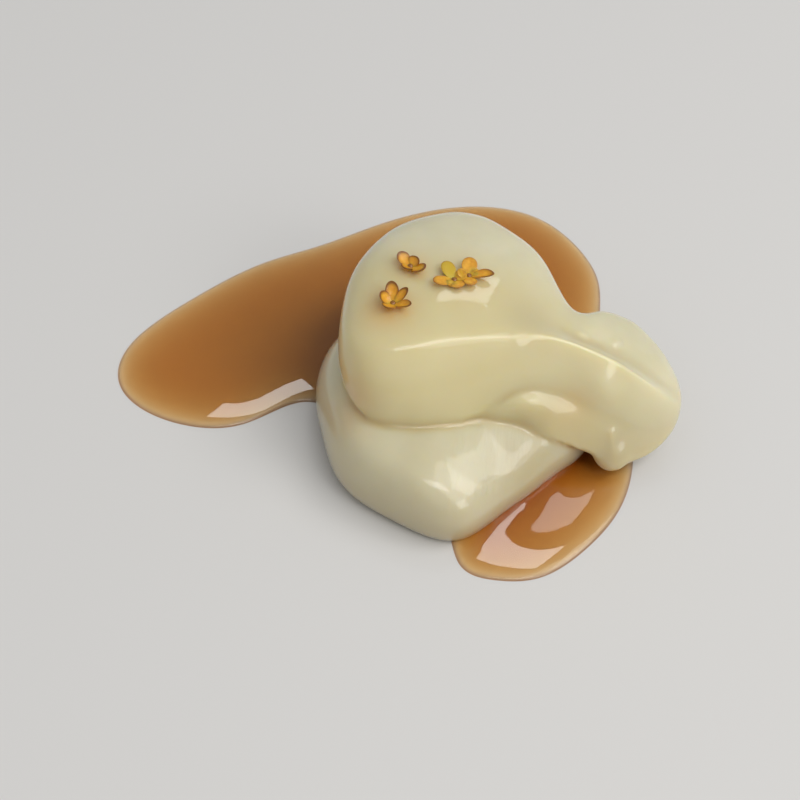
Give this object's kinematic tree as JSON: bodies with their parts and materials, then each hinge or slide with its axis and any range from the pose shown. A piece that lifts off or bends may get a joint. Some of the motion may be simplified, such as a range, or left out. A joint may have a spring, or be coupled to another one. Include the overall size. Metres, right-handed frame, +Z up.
{
  "type": "brown sugar mochi",
  "caption": "Soft mochi dough folded over on itself, its end drooping to one side, dressed with sugared osmanthus blossoms and lying in a thin pool of brown sugar syrup.",
  "frame": {"origin": "on the surface it lies on, at the foot of the dough, under the middle of the dough", "axes": "+Z up; +X to the right, towards the drooping end; -Y towards the open side of the fold, which faces the viewer"},
  "size_m": [0.0831, 0.0752, 0.0248],
  "materials": {
    "dough": "wet and glossy, milky ivory",
    "syrup": "clear light amber liquid"
  },
  "bodies": {
    "root": {"mochi": "dough", "syrup_pool": "syrup"}
  },
  "joints": []
}
